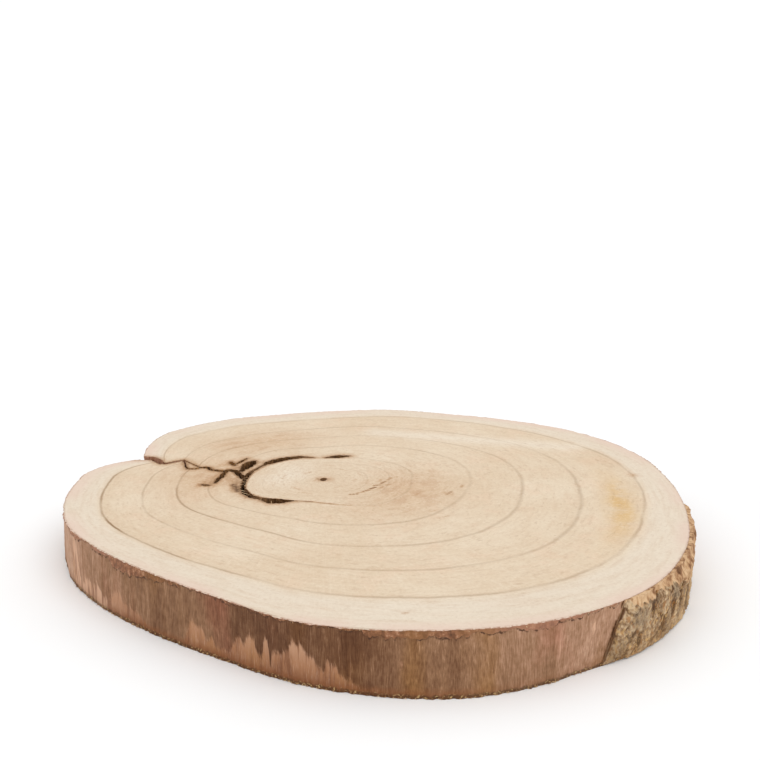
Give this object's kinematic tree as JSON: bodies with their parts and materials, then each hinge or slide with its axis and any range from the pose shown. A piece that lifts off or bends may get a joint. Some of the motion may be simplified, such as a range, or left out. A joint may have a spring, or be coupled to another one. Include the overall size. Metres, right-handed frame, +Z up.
{
  "type": "wood slice",
  "caption": "Flat round slice sawn across a tree trunk, with growth rings, a radial crack into a ring shake, a peeled brown rim and a strip of rough bark.",
  "frame": {"origin": "on the lower sawn face, under the middle of the slice's box", "axes": "+Z up through the slice's thickness, the notch and crack towards -X and the strip of bark towards +X -Y"},
  "size_m": [0.3271, 0.327, 0.03],
  "materials": {
    "wood": "sawn and lightly sanded, with a brown peeled rim",
    "bark": "rough dry bark"
  },
  "bodies": {
    "root": {"wood_slice": "wood", "bark_patch": "bark"}
  },
  "joints": []
}
